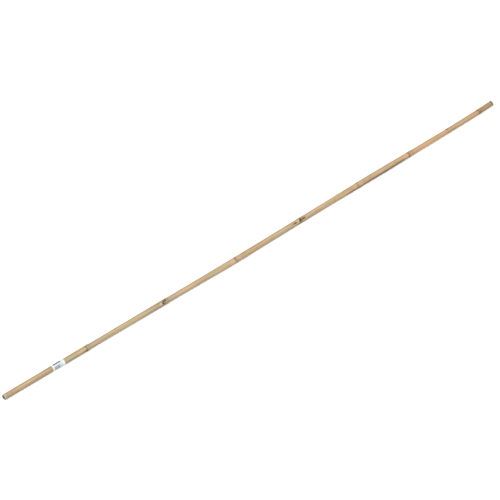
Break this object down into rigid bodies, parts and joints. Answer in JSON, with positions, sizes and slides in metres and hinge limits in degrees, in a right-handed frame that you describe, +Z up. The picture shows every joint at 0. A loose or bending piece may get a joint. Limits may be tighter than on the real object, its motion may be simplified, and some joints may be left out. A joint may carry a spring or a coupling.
{
  "type": "bamboo cane",
  "caption": "Straight natural bamboo cane with ringed nodes, a slight bow, open sawn ends and a small paper label sleeve near the butt.",
  "frame": {"origin": "under the middle of the cane, on the surface that it lies on", "axes": "+X along the cane from the butt to the tip, +Z up; the cane bows a few millimetres towards -Y"},
  "size_m": [1.5, 0.021, 0.016],
  "materials": {
    "bamboo": "dried natural bamboo skin, satin, straw to orange tan",
    "label_paper": null
  },
  "bodies": {
    "root": {"cane": "bamboo", "label": "label_paper"}
  },
  "joints": []
}
